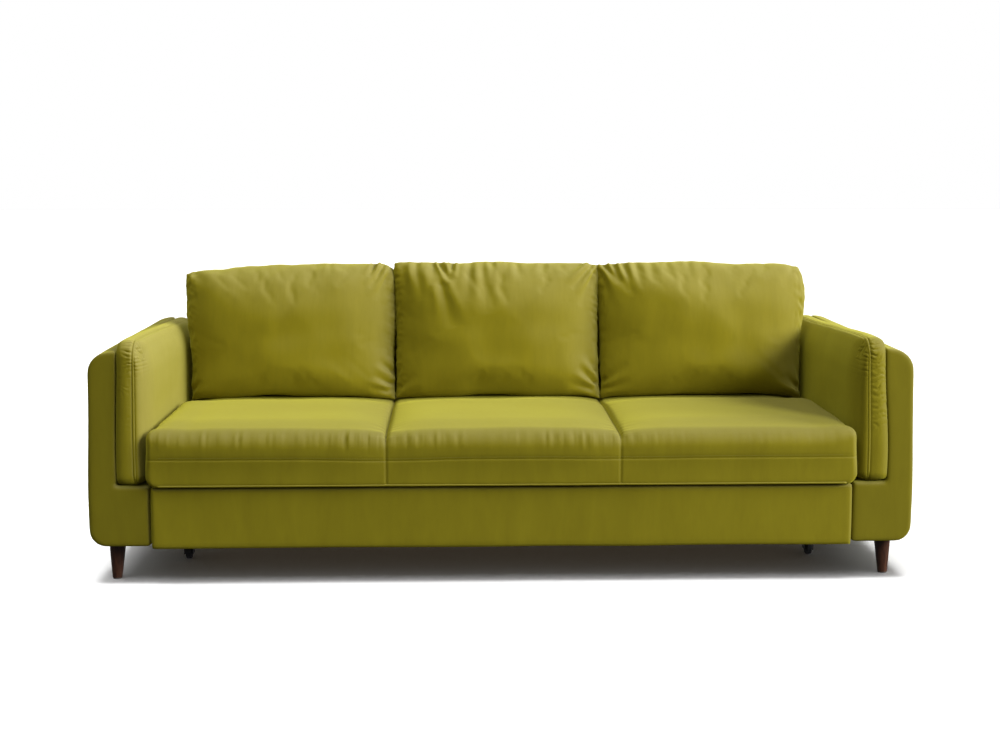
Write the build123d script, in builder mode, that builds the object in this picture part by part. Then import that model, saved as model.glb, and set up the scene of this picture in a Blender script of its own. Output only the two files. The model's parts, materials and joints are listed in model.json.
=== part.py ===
"""Three-seat sofa bed: box arms on turned legs, a roll-out seat unit with a bedding drawer,
a back that folds down flat behind the seat, and three loose back cushions.

Millimetres, +Z up, +X to the right seen from the front, front towards -Y. The origin is on
the floor, in the middle of the width and of the depth. Left is the -X side.
"""

import os

from build123d import *

# Overall size
WIDTH = 2350
SEAT_FRONT = -487  # the mattress stands proud of the arms
ARM_FRONT = -463
ARM_REAR = 487
FLOOR = 0

# Arms: a slab outside, a low base under the seat's edge, and a pad on the step between them
ARM_INNER = 998
PAD_OUTER = 1098
ARM_BOTTOM = 110
ARM_STEP = 285
ARM_TOP = 652
ARM_CORNER = 50
ARM_EDGE = 12
COVER_WALL = 8
CARCASS_BOARD = 16
PAD_TOP = 697
PAD_ROUND = 30
PAD_PROUD = 5

# Legs
LEG_X = 1109
LEG_FRONT_Y = ARM_FRONT + 80
LEG_REAR_Y = ARM_REAR - 80
LEG_TOP_R = 24
LEG_FOOT_R = 14
LEG_SPLAY = 4
GLIDE_HEIGHT = 4
PLATE_THICK = 4
BOLT_R = 4

# Upholstered rear beam and the guide rails between the arms
BEAM_Y = (ARM_REAR - 50, ARM_REAR - 26)
BEAM_Z = (ARM_BOTTOM + 2, 268)  # stays under the swing of the back's lower rear edge
RAIL_Y = (ARM_FRONT + 60, ARM_FRONT + 800)
RAIL_Z = (150, 190)
RAIL_DEPTH = 18
RAIL_WALL = 2

# Seat unit
SEAT_REAR = ARM_FRONT + 775
UNIT_FRONT = ARM_FRONT + 45
WALL_X = (956, 974)
WALL_Z = (105, 238)
FRAME_TOP = 274
FRAME_WOOD = 30
FRAME_HALF = 980
SLAT_THICK = 8
SLAT_WIDTH = 53
SLAT_COUNT = 16
SLAT_PITCH = 118
MATTRESS_HALF = 994
MATTRESS_Z = (282.5, 445)
MATTRESS_ROUND = 24
MATTRESS_COVER = 5

# Castors under the side walls
WHEEL_R = 30
WHEEL_WIDTH = 16
WHEEL_X = 942.5
WHEEL_Y = (ARM_FRONT + 300, ARM_FRONT + 700)
AXLE_R = 4
FORK_PLATE = 3
FORK_HALF = 18
FORK_GAP = 2.5

# Bedding drawer behind the front panel
PANEL_HALF = 992
PANEL_Z = (105, 280)
PANEL_THICK = 30
PANEL_COVER = 4
BOX_OUTER = 943
BOX_BOARD = 15
BOX_REAR = ARM_FRONT + 600
BOX_Z = (118, 230)
BOX_FLOOR = 6
RUNNER_Z = (185, 225)

# Back: a frame, foam and board in one padded cover, hinged to the seat unit
BACK_HALF = 972
BACK_Y = (ARM_FRONT + 790, ARM_FRONT + 930)
BACK_Z = (300, 780)
BACK_ROUND = 24
BACK_HEEL = 42  # rounding of the lower front edge, which swings past the seat's rear
BACK_COVER = 5
STILE_WIDTH = 45
HINGE_Y = ARM_FRONT + 855
HINGE_Z = 365
HINGE_PIN_R = 6
HINGE_EYE_R = 28
HINGE_PLATE = 4

# Loose back cushions
CUSHION_WIDTH = 650
CUSHION_PITCH = 656
CUSHION_Y = (ARM_FRONT + 587, ARM_FRONT + 787)
CUSHION_Z = (449, 876)
CUSHION_ROUND = 58
CUSHION_COVER = 4

GAP = 0.5  # clearance between a filling and its cover
FIT = 0.05  # radial clearance of a pin that turns in its hole
SIDES = ((-1, "left"), (1, "right"))

os.makedirs("parts", exist_ok=True)


def save(part, label):
    """Names a finished piece and writes it as its own STEP file."""
    part.label = label
    export_step(part, f"parts/{label}.step")


def block(x, y, z, edge=0):
    """A board or block between two x, two y and two z values, its edges rounded by edge."""
    with BuildPart() as board:
        with BuildSketch(Plane.XY.offset(z[0])):
            with Locations(((x[0] + x[1]) / 2, (y[0] + y[1]) / 2)):
                Rectangle(abs(x[1] - x[0]), y[1] - y[0])
        extrude(amount=z[1] - z[0])
        if edge:
            fillet(board.edges(), edge)
    return board.part


def span(low, high, inset):
    """Two limits drawn in by inset."""
    return (low + inset, high - inset)


def cased(x, y, z, edge, wall):
    """A closed padded cover, and the filling that sits in it with a small clearance."""
    core = wall + GAP
    outer = block(x, y, z, edge)
    cavity = block(span(*x, wall), span(*y, wall), span(*z, wall), edge - wall)
    filling = block(span(*x, core), span(*y, core), span(*z, core), edge - core)
    with BuildPart() as cover:
        add(outer)
        add(cavity, mode=Mode.SUBTRACT)
    return cover.part, filling


def outward(side, near, far):
    """The x limits of something between two distances from the middle, on one side."""
    return (side * near, side * far) if side > 0 else (side * far, side * near)


def arm_prism(side, inset):
    """The arm's stepped section, drawn in by inset all round, as long as the arm less inset."""
    outer = side * (WIDTH / 2 - inset)
    step = side * (PAD_OUTER + inset)
    inner = side * (ARM_INNER + inset)
    low, ledge, top = ARM_BOTTOM + inset, ARM_STEP - inset, ARM_TOP - inset
    with BuildPart() as prism:
        with BuildSketch(Plane.XZ.offset(-(ARM_REAR - inset))) as section:
            with BuildLine():
                Polyline(
                    (outer, low), (outer, top), (step, top), (step, ledge), (inner, ledge), (inner, low),
                    close=True,
                )
            make_face()
            corners = section.vertices().group_by(Axis.X)[-1 if side > 0 else 0]
            fillet(corners, ARM_CORNER - inset)
        extrude(amount=ARM_REAR - ARM_FRONT - 2 * inset)
    return prism.part


# Arms ------------------------------------------------------------------------------------

LEG_SPOTS = {
    f"{place}_{name}": (side * LEG_X, y)
    for side, name in SIDES
    for place, y in (("front", LEG_FRONT_Y), ("rear", LEG_REAR_Y))
}
BEAM_BOLT_Z = (160, 215)
BEAM_MID_Y = (BEAM_Y[0] + BEAM_Y[1]) / 2
BEAM_BOLT_X = (ARM_INNER - 60, ARM_INNER + COVER_WALL + GAP + CARCASS_BOARD)
BOLT_HEAD_R = 8
BOLT_HEAD = 5

for side, name in SIDES:
    leg_spots = [spot for spot in LEG_SPOTS.values() if spot[0] * side > 0]
    beam_plane = Plane.YZ.offset(side * (ARM_INNER - 1))
    cover_inside = arm_prism(side, COVER_WALL)
    with BuildPart() as arm_cover:
        add(arm_prism(side, 0))
        fillet(arm_cover.faces().sort_by(Axis.Y)[0].edges(), ARM_EDGE)
        fillet(arm_cover.faces().sort_by(Axis.Y)[-1].edges(), ARM_EDGE)
        add(cover_inside, mode=Mode.SUBTRACT)
        with BuildSketch(Plane.XY.offset(ARM_BOTTOM - 1)):
            with Locations(*leg_spots):
                Circle(BOLT_R + GAP)
        extrude(amount=COVER_WALL + 2, mode=Mode.SUBTRACT)
        with BuildSketch(beam_plane):
            with Locations(*[(BEAM_MID_Y, z) for z in BEAM_BOLT_Z]):
                Circle(BOLT_R + GAP)
        extrude(amount=side * (COVER_WALL + 2), mode=Mode.SUBTRACT)
    save(arm_cover.part, f"arm_cover_{name}")

    carcass_inset = COVER_WALL + GAP
    carcass_inside = arm_prism(side, carcass_inset + CARCASS_BOARD)
    with BuildPart() as arm_carcass:
        add(arm_prism(side, carcass_inset))
        add(carcass_inside, mode=Mode.SUBTRACT)
        with BuildSketch(Plane.XY.offset(ARM_BOTTOM)):
            with Locations(*leg_spots):
                Circle(BOLT_R + GAP)
        extrude(amount=carcass_inset + CARCASS_BOARD + 1, mode=Mode.SUBTRACT)
        with BuildSketch(beam_plane):
            with Locations(*[(BEAM_MID_Y, z) for z in BEAM_BOLT_Z]):
                Circle(BOLT_R + GAP)
        extrude(amount=side * (carcass_inset + CARCASS_BOARD + 2), mode=Mode.SUBTRACT)
    save(arm_carcass.part, f"arm_carcass_{name}")

    pad_x = outward(side, ARM_INNER, PAD_OUTER - 1)
    with BuildPart() as arm_pad:
        add(block(pad_x, (ARM_FRONT - PAD_PROUD, ARM_REAR - 10), (ARM_STEP + 1, PAD_TOP)))
        fillet(arm_pad.edges().filter_by(Axis.Z).group_by(Axis.Y)[0], PAD_ROUND)
        fillet(arm_pad.faces().sort_by(Axis.Z)[-1].edges(), PAD_ROUND)
    save(arm_pad.part, f"arm_pad_{name}")

# Turned tapered legs, each on a steel plate, with a bolt up into the arm and a felt glide
LEG_TOP = ARM_BOTTOM - PLATE_THICK
BOLT_LOW = LEG_TOP - 30
BOLT_HIGH = ARM_BOTTOM + COVER_WALL + GAP + CARCASS_BOARD

for place, (leg_x, leg_y) in LEG_SPOTS.items():
    foot_x = leg_x + LEG_SPLAY * (1 if leg_x > 0 else -1)
    with BuildPart() as leg:
        with BuildSketch(Plane.XY.offset(GLIDE_HEIGHT)):
            with Locations((foot_x, leg_y)):
                Circle(LEG_FOOT_R)
        with BuildSketch(Plane.XY.offset(LEG_TOP)):
            with Locations((leg_x, leg_y)):
                Circle(LEG_TOP_R)
        loft()
        with BuildSketch(Plane.XY.offset(BOLT_LOW)):
            with Locations((leg_x, leg_y)):
                Circle(BOLT_R + GAP / 2)
        extrude(amount=LEG_TOP - BOLT_LOW, mode=Mode.SUBTRACT)
    save(leg.part, f"leg_{place}")

with BuildPart() as leg_plates:
    with BuildSketch(Plane.XY.offset(LEG_TOP)):
        with Locations(*LEG_SPOTS.values()):
            RectangleRounded(64, 64, 8)
            Circle(BOLT_R + GAP / 2, mode=Mode.SUBTRACT)
    extrude(amount=PLATE_THICK)
save(leg_plates.part, "leg_plates")

with BuildPart() as leg_bolts:
    with BuildSketch(Plane.XY.offset(BOLT_LOW + GAP)):
        with Locations(*LEG_SPOTS.values()):
            Circle(BOLT_R)
    extrude(amount=BOLT_HIGH - BOLT_LOW)
    with BuildSketch(Plane.XY.offset(BOLT_HIGH + GAP)):
        with Locations(*LEG_SPOTS.values()):
            RegularPolygon(BOLT_HEAD_R, 6)
    extrude(amount=BOLT_HEAD)
save(leg_bolts.part, "leg_bolts")

with BuildPart() as leg_glides:
    with BuildSketch(Plane.XY.offset(FLOOR)):
        with Locations(*[(x + LEG_SPLAY * (1 if x > 0 else -1), y) for x, y in LEG_SPOTS.values()]):
            Circle(LEG_FOOT_R - 1)
    extrude(amount=GLIDE_HEIGHT)
save(leg_glides.part, "leg_glides")

# The beam that ties the arms together at the rear, and its four bolts
BEAM_HALF = ARM_INNER - GAP
with BuildPart() as rear_beam:
    add(block((-BEAM_HALF, BEAM_HALF), BEAM_Y, BEAM_Z))
    for side, name in SIDES:
        with BuildSketch(Plane.YZ.offset(side * BEAM_HALF)):
            with Locations(*[(BEAM_MID_Y, z) for z in BEAM_BOLT_Z]):
                Circle(BOLT_R + GAP / 2)
        extrude(amount=-side * (BEAM_HALF - BEAM_BOLT_X[0] + 1), mode=Mode.SUBTRACT)
save(rear_beam.part, "rear_beam")

with BuildPart() as beam_bolts:
    for side, name in SIDES:
        with BuildSketch(Plane.YZ.offset(side * BEAM_BOLT_X[0])):
            with Locations(*[(BEAM_MID_Y, z) for z in BEAM_BOLT_Z]):
                Circle(BOLT_R)
        extrude(amount=side * (BEAM_BOLT_X[1] - BEAM_BOLT_X[0]))
        with BuildSketch(Plane.YZ.offset(side * BEAM_BOLT_X[1])):
            with Locations(*[(BEAM_MID_Y, z) for z in BEAM_BOLT_Z]):
                RegularPolygon(BOLT_HEAD_R, 6)
        extrude(amount=side * BOLT_HEAD)
save(beam_bolts.part, "beam_bolts")

# Steel channels on the arms' inner faces, open towards the middle
for side, name in SIDES:
    web = ARM_INNER - GAP
    lip = web - RAIL_DEPTH
    channel_x = outward(side, lip, web)
    slot_x = outward(side, lip - 1, web - RAIL_WALL)
    slot = block(slot_x, span(*RAIL_Y, -1), span(*RAIL_Z, RAIL_WALL))
    with BuildPart() as guide_rail:
        add(block(channel_x, RAIL_Y, RAIL_Z))
        add(slot, mode=Mode.SUBTRACT)
    save(guide_rail.part, f"guide_rail_{name}")

# Seat unit -------------------------------------------------------------------------------

UNIT_Y = (UNIT_FRONT, SEAT_REAR - 3)
FRAME_Z = (WALL_Z[1], FRAME_TOP)
INNER_Y = span(*UNIT_Y, FRAME_WOOD)
SIDE_RAIL = FRAME_HALF - FRAME_WOOD
CROSS_RAIL_X = 330

for side, name in SIDES:
    save(block(outward(side, *WALL_X), UNIT_Y, WALL_Z), f"seat_side_wall_{name}")
    save(block(outward(side, SIDE_RAIL, FRAME_HALF), UNIT_Y, FRAME_Z), f"seat_side_rail_{name}")

rail_x = (-SIDE_RAIL, SIDE_RAIL)
save(block(rail_x, (UNIT_Y[0], INNER_Y[0]), FRAME_Z), "seat_front_rail")
save(block(rail_x, (INNER_Y[1], UNIT_Y[1]), FRAME_Z), "seat_rear_rail")

with BuildPart() as seat_cross_rails:
    with BuildSketch(Plane.XY.offset(FRAME_Z[0])):
        with Locations((0, sum(INNER_Y) / 2)):
            with GridLocations(2 * CROSS_RAIL_X, 0, 2, 1):
                Rectangle(FRAME_WOOD, INNER_Y[1] - INNER_Y[0])
    extrude(amount=FRAME_Z[1] - FRAME_Z[0])
save(seat_cross_rails.part, "seat_cross_rails")

with BuildPart() as seat_slats:
    with BuildSketch(Plane.XY.offset(FRAME_TOP)):
        with Locations((0, sum(UNIT_Y) / 2)):
            with GridLocations(SLAT_PITCH, 0, SLAT_COUNT, 1):
                Rectangle(SLAT_WIDTH, UNIT_Y[1] - UNIT_Y[0] - 10)
    extrude(amount=SLAT_THICK)
save(seat_slats.part, "seat_slats")

mattress_x = (-MATTRESS_HALF, MATTRESS_HALF)
mattress_y = (SEAT_FRONT, SEAT_REAR)
seat_cover, seat_foam = cased(mattress_x, mattress_y, MATTRESS_Z, MATTRESS_ROUND, MATTRESS_COVER)
save(seat_cover, "seat_cover")
save(seat_foam, "seat_foam")

# Nylon shoes on the side walls, running in the channels
SHOE_X = (WALL_X[1], ARM_INNER - GAP - RAIL_WALL - 1)
SHOE_Y = (ARM_FRONT + 510, ARM_FRONT + 730)
SHOE_LENGTH = 60
shoe_z = span(*RAIL_Z, RAIL_WALL + 1)
with BuildPart() as guide_shoes:
    with BuildSketch(Plane.XY.offset(shoe_z[0])):
        for side, name in SIDES:
            with Locations(*[(side * sum(SHOE_X) / 2, y) for y in SHOE_Y]):
                RectangleRounded(SHOE_X[1] - SHOE_X[0], SHOE_LENGTH, 4)
    extrude(amount=shoe_z[1] - shoe_z[0])
save(guide_shoes.part, "guide_shoes")

# Castors: a folded steel fork whose outer cheek is screwed to the side wall's inner face
WHEEL_SPOTS = {
    f"{place}_{name}": (side, y)
    for side, name in SIDES
    for place, y in zip(("front", "rear"), WHEEL_Y)
}
CHEEK = WHEEL_WIDTH / 2 + FORK_GAP
FORK_HIGH = 175
BRIDGE_Z = (WHEEL_R * 2 + 8, WHEEL_R * 2 + 8 + FORK_PLATE)
CHEEK_LOW = WHEEL_R - 14

with BuildPart() as castor_forks:
    for side, y in WHEEL_SPOTS.values():
        fork_y = (y - FORK_HALF, y + FORK_HALF)
        outer_cheek = (WHEEL_X + CHEEK, WHEEL_X + CHEEK + FORK_PLATE)
        inner_cheek = (WHEEL_X - CHEEK - FORK_PLATE, WHEEL_X - CHEEK)
        add(block(outward(side, *outer_cheek), fork_y, (CHEEK_LOW, FORK_HIGH)))
        add(block(outward(side, *inner_cheek), fork_y, (CHEEK_LOW, BRIDGE_Z[1])))
        add(block(outward(side, inner_cheek[0], outer_cheek[1]), fork_y, BRIDGE_Z))
    with BuildSketch(Plane.YZ):
        with Locations(*[(y, WHEEL_R) for y in WHEEL_Y]):
            Circle(AXLE_R + FIT)
    extrude(amount=WIDTH / 2, both=True, mode=Mode.SUBTRACT)
save(castor_forks.part, "castor_forks")

AXLE_HALF = CHEEK + FORK_PLATE + 2
with BuildPart() as castor_axles:
    for side, name in SIDES:
        with BuildSketch(Plane.YZ.offset(side * WHEEL_X)):
            with Locations(*[(y, WHEEL_R) for y in WHEEL_Y]):
                Circle(AXLE_R)
        extrude(amount=AXLE_HALF, both=True)
save(castor_axles.part, "castor_axles")

for place, (side, y) in WHEEL_SPOTS.items():
    with BuildPart() as castor_wheel:
        with BuildSketch(Plane.YZ.offset(side * WHEEL_X)):
            with Locations((y, WHEEL_R)):
                Circle(WHEEL_R)
                Circle(AXLE_R + FIT, mode=Mode.SUBTRACT)
        extrude(amount=WHEEL_WIDTH / 2, both=True)
        rims = castor_wheel.edges().filter_by(GeomType.CIRCLE).sort_by(SortBy.RADIUS)[-2:]
        fillet(rims, 3)
    save(castor_wheel.part, f"castor_wheel_{place}")

# Hinges: an arm on the seat frame, a strap on the back's side, a washer's gap and a pin
STRAP_X = BACK_HALF + 1
ARM_PLATE_X = FRAME_HALF
STRAP_HEIGHT = 150
STRAP_WIDTH = 30
FOOT_Z = (WALL_Z[1] + 3, FRAME_TOP)
FOOT_FRONT = SEAT_REAR - 160

with BuildPart() as hinge_arms:
    for side, name in SIDES:
        with BuildSketch(Plane.YZ.offset(side * ARM_PLATE_X)):
            with Locations((HINGE_Y, HINGE_Z)):
                Circle(HINGE_EYE_R)
            with Locations((HINGE_Y, (FOOT_Z[0] + HINGE_Z) / 2)):
                Rectangle(2 * HINGE_EYE_R, HINGE_Z - FOOT_Z[0])
            with Locations(((FOOT_FRONT + HINGE_Y) / 2, sum(FOOT_Z) / 2)):
                Rectangle(HINGE_Y - FOOT_FRONT, FOOT_Z[1] - FOOT_Z[0])
            with Locations((HINGE_Y, HINGE_Z)):
                Circle(HINGE_PIN_R + FIT, mode=Mode.SUBTRACT)
        extrude(amount=side * HINGE_PLATE)
save(hinge_arms.part, "hinge_arms")

with BuildPart() as hinge_straps:
    for side, name in SIDES:
        with BuildSketch(Plane.YZ.offset(side * STRAP_X)):
            with Locations((HINGE_Y, HINGE_Z)):
                Circle(HINGE_EYE_R)
            with Locations((HINGE_Y, HINGE_Z + STRAP_HEIGHT / 2)):
                Rectangle(STRAP_WIDTH, STRAP_HEIGHT)
            with Locations((HINGE_Y, HINGE_Z)):
                Circle(HINGE_PIN_R + FIT, mode=Mode.SUBTRACT)
        extrude(amount=side * HINGE_PLATE)
save(hinge_straps.part, "hinge_straps")

PIN_HEAD_R = 11
PIN_HEAD = 4
with BuildPart() as hinge_pins:
    for side, name in SIDES:
        with BuildSketch(Plane.YZ.offset(side * (STRAP_X + GAP))):
            with Locations((HINGE_Y, HINGE_Z)):
                Circle(HINGE_PIN_R)
        extrude(amount=side * (ARM_PLATE_X + HINGE_PLATE - STRAP_X))
        with BuildSketch(Plane.YZ.offset(side * (ARM_PLATE_X + HINGE_PLATE + GAP))):
            with Locations((HINGE_Y, HINGE_Z)):
                Circle(PIN_HEAD_R)
        extrude(amount=side * PIN_HEAD)
save(hinge_pins.part, "hinge_pins")

# Bedding drawer --------------------------------------------------------------------------

panel_x = (-PANEL_HALF, PANEL_HALF)
panel_y = (ARM_FRONT, ARM_FRONT + PANEL_THICK)
drawer_front_cover, drawer_front_board = cased(panel_x, panel_y, PANEL_Z, PANEL_COVER + 2, PANEL_COVER)
save(drawer_front_cover, "drawer_front_cover")
save(drawer_front_board, "drawer_front_board")

BOX_INNER = BOX_OUTER - BOX_BOARD
box_y = (panel_y[1], BOX_REAR)
box_inner_x = (-BOX_INNER, BOX_INNER)
for side, name in SIDES:
    save(block(outward(side, BOX_INNER, BOX_OUTER), box_y, BOX_Z), f"drawer_side_{name}")
save(block(box_inner_x, (BOX_REAR - BOX_BOARD, BOX_REAR), BOX_Z), "drawer_rear")
drawer_floor_z = (BOX_Z[0], BOX_Z[0] + BOX_FLOOR)
save(block(box_inner_x, (box_y[0], BOX_REAR - BOX_BOARD), drawer_floor_z), "drawer_bottom")

# Runners: a channel on each side wall and a slide on each drawer side
RUNNER_SPLIT = (BOX_OUTER + WALL_X[0]) / 2
for label, near, far, height, length in (
    ("drawer_slides", BOX_OUTER, RUNNER_SPLIT - GAP / 2, span(*RUNNER_Z, 5), (box_y[0] + 12, BOX_REAR - 5)),
    ("drawer_channels", RUNNER_SPLIT + GAP / 2, WALL_X[0], RUNNER_Z, (UNIT_Y[0] + 5, BOX_REAR)),
):
    with BuildPart() as runners:
        for side, name in SIDES:
            add(block(outward(side, near, far), length, height))
    save(runners.part, label)

# Back ------------------------------------------------------------------------------------


def back_body(inset):
    """The back's outer block drawn in by inset, with its larger lower front rounding."""
    x = span(-BACK_HALF, BACK_HALF, inset)
    y = span(*BACK_Y, inset)
    z = span(*BACK_Z, inset)
    with BuildPart() as body:
        add(block(x, y, z))
        along = body.edges().filter_by(Axis.X).group_by(Axis.Z)
        heel = along[0].sort_by(Axis.Y)[0]
        others = [along[0].sort_by(Axis.Y)[-1], *along[-1]]
        fillet(heel, BACK_HEEL - inset)
        fillet(others, BACK_ROUND - inset)
    return body.part


back_cavity = back_body(BACK_COVER)
with BuildPart() as back_cover:
    add(back_body(0))
    add(back_cavity, mode=Mode.SUBTRACT)
save(back_cover.part, "back_cover")

INSIDE_HALF = BACK_HALF - BACK_COVER - GAP
FOAM_Y = (BACK_Y[0] + BACK_COVER + GAP, BACK_Y[0] + 60)
WOOD_Y = (FOAM_Y[1], FOAM_Y[1] + 50)
BOARD_Y = (WOOD_Y[1], WOOD_Y[1] + 5)
WOOD_Z = (BACK_Z[0] + 16, BACK_Z[1] - 16)
BACK_RAIL_Z = {
    "bottom": (WOOD_Z[0], WOOD_Z[0] + STILE_WIDTH),
    "middle": (525, 525 + STILE_WIDTH),
    "top": (WOOD_Z[1] - STILE_WIDTH, WOOD_Z[1]),
}

FOAM_Z = (BACK_Z[0] + BACK_HEEL, BACK_Z[1] - BACK_ROUND)
save(block((-INSIDE_HALF, INSIDE_HALF), FOAM_Y, FOAM_Z), "back_foam")
stile_inner = INSIDE_HALF - STILE_WIDTH
with BuildPart() as back_stiles:
    for side, name in SIDES:
        add(block(outward(side, stile_inner, INSIDE_HALF), WOOD_Y, WOOD_Z))
save(back_stiles.part, "back_stiles")
for place, height in BACK_RAIL_Z.items():
    save(block((-stile_inner, stile_inner), WOOD_Y, height), f"back_{place}_rail")
save(block((-INSIDE_HALF, INSIDE_HALF), BOARD_Y, WOOD_Z), "back_board")

# Loose back cushions ---------------------------------------------------------------------

for slot, place in zip((-1, 0, 1), ("left", "middle", "right")):
    middle_x = slot * CUSHION_PITCH
    cushion_x = (middle_x - CUSHION_WIDTH / 2, middle_x + CUSHION_WIDTH / 2)
    cover, filling = cased(cushion_x, CUSHION_Y, CUSHION_Z, CUSHION_ROUND, CUSHION_COVER)
    save(cover, f"cushion_cover_{place}")
    save(filling, f"cushion_filling_{place}")
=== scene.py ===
"""Looks of the three-seat sofa bed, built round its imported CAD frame.

Metres, in the CAD model's frame: +X to the right, front towards -Y, +Z up.
Left is the -X side.
"""
import json
import math

import bpy
import numpy as np
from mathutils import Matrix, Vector
from mathutils.bvhtree import BVHTree


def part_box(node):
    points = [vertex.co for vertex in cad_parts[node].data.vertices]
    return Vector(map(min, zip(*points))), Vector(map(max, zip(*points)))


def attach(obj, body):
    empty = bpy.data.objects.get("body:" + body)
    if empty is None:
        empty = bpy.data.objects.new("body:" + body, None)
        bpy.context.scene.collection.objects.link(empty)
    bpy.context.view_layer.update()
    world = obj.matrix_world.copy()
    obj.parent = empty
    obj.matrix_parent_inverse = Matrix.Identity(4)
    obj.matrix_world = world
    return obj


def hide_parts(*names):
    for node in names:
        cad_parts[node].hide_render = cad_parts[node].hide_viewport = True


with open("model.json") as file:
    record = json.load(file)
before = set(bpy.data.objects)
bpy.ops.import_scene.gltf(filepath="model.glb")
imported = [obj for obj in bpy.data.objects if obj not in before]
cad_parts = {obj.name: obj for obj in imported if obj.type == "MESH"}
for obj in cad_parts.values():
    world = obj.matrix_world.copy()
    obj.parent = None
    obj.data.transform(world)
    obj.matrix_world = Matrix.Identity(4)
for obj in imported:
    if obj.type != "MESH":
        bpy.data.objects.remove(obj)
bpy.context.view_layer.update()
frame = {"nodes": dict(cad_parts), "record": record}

SIDES = ((-1, "left"), (1, "right"))
ARM_BOX = {name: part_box(f"arm_cover_{name}") for _, name in SIDES}
FRONT = ARM_BOX["left"][0].y  # the plane of the arms' front faces

# Camera and studio -----------------------------------------------------------

CAMERA_X = -0.138
CAMERA_DISTANCE = 4.338  # in front of the arms' front plane
CAMERA_HEIGHT = 1.207
CAMERA_YAW = math.radians(1.69)
CAMERA_PITCH = math.radians(7.98)
CAMERA_LENS = 56.2
WHITE = (1.0, 1.0, 1.0, 1.0)
AMBIENCE = 0.38  # the room's own light on the object, from above
AMBIENCE_BELOW = 0.06  # the same from below
AMBIENCE_RISE = (-0.05, 0.55)  # where it goes from one to the other: the sine of the height angle
# each sun: the way it shines, its spread in degrees and its power
SKY_SUN = ((0.12, 0.30, -1.0), 55, 1.55)
SIDE_SUN = ((-1.0, 0.22, -0.50), 40, 4.3)
BACK_SUN = ((-0.3, -1.0, -0.45), 40, 0.6)
WASH_SUN = ((0.0, 0.10, -1.0), 24, 3.0)  # on the floor alone
FILL_PLACE = (2.9, -2.9, 1.9)
FILL_TARGET = (0.8, 0.0, 0.3)
FILL_SIZE = 1.0
FILL_POWER = 86
FLOOR_TONE = (0.97, 0.97, 0.97)
FLOOR_SIZE = 60
FLOOR_ROUGHNESS = 0.9


def make_camera():
    """The camera stands left of the middle, at a seated eye height, and looks slightly down."""
    data = bpy.data.cameras.new("camera")
    data.lens = CAMERA_LENS
    data.clip_end = 60
    camera = bpy.data.objects.new("camera", data)
    bpy.context.scene.collection.objects.link(camera)
    camera.location = (CAMERA_X, FRONT - CAMERA_DISTANCE, CAMERA_HEIGHT)
    camera.rotation_euler = (math.radians(90) - CAMERA_PITCH, 0, -CAMERA_YAW)
    bpy.context.scene.camera = camera


def area_light(name, place, target, size, power):
    """A soft square light of the given size, aimed from place at target."""
    data = bpy.data.lights.new(name, "AREA")
    data.shape = "SQUARE"
    data.size = size
    data.energy = power
    light = bpy.data.objects.new(name, data)
    bpy.context.scene.collection.objects.link(light)
    light.location = place
    aim = Vector(target) - Vector(place)
    light.rotation_euler = aim.to_track_quat("-Z", "Y").to_euler()
    return light


def sun_light(name, aim, spread, strength):
    """A far light that shines along aim, as soft as its spread in degrees."""
    data = bpy.data.lights.new(name, "SUN")
    data.angle = math.radians(spread)
    data.energy = strength
    light = bpy.data.objects.new(name, data)
    bpy.context.scene.collection.objects.link(light)
    light.rotation_euler = Vector(aim).to_track_quat("-Z", "Y").to_euler()
    return light


def make_world():
    """A backdrop that shows white, while the room's own light stays low, and lower from below."""
    world = bpy.data.worlds.new("studio")
    bpy.context.scene.world = world
    world.use_nodes = True
    background = world.node_tree.nodes["Background"]
    background.inputs["Color"].default_value = WHITE
    new, link = world.node_tree.nodes.new, world.node_tree.links.new
    way = new("ShaderNodeTexCoord")
    height = new("ShaderNodeSeparateXYZ")
    link(way.outputs["Generated"], height.inputs[0])
    room = new("ShaderNodeMapRange")
    room.inputs["From Min"].default_value = AMBIENCE_RISE[0]
    room.inputs["From Max"].default_value = AMBIENCE_RISE[1]
    room.inputs["To Min"].default_value = AMBIENCE_BELOW
    room.inputs["To Max"].default_value = AMBIENCE
    link(height.outputs["Z"], room.inputs["Value"])
    seen = new("ShaderNodeLightPath")
    level = new("ShaderNodeMapRange")
    level.inputs["To Max"].default_value = 1.0
    link(room.outputs[0], level.inputs["To Min"])
    link(seen.outputs["Is Camera Ray"], level.inputs["Value"])
    link(level.outputs[0], background.inputs["Strength"])


def make_floor():
    """A plain pale floor, left out of bounced light, because it would light the front from below."""
    bpy.ops.mesh.primitive_plane_add(size=FLOOR_SIZE, location=(0, 0, 0))
    floor = bpy.context.object
    floor.name = "floor"
    floor.data.materials.append(new_material("floor_paint", FLOOR_TONE, FLOOR_ROUGHNESS))
    floor.visible_diffuse = False
    floor.visible_glossy = False
    return floor


def make_studio():
    """A broad top light, a side light from the right, a weak rear light and fill, and a floor."""
    bpy.context.scene.view_settings.view_transform = "Standard"
    make_world()
    sun_light("sky", *SKY_SUN)
    side = sun_light("side", *SIDE_SUN)
    back = sun_light("back", *BACK_SUN)
    wash = sun_light("wash", *WASH_SUN)
    fill = area_light("fill", FILL_PLACE, FILL_TARGET, FILL_SIZE, FILL_POWER)
    floor = make_floor()
    # the floor has its own light from above, so the low lights throw no long shadows on it
    for light in (side, back, fill, wash):
        state = "INCLUDE" if light is wash else "EXCLUDE"
        receivers = bpy.data.collections.new(f"{light.name}_receivers")
        receivers.objects.link(floor)
        receivers.collection_objects[0].light_linking.link_state = state
        light.light_linking.receiver_collection = receivers


# Materials -------------------------------------------------------------------


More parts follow.
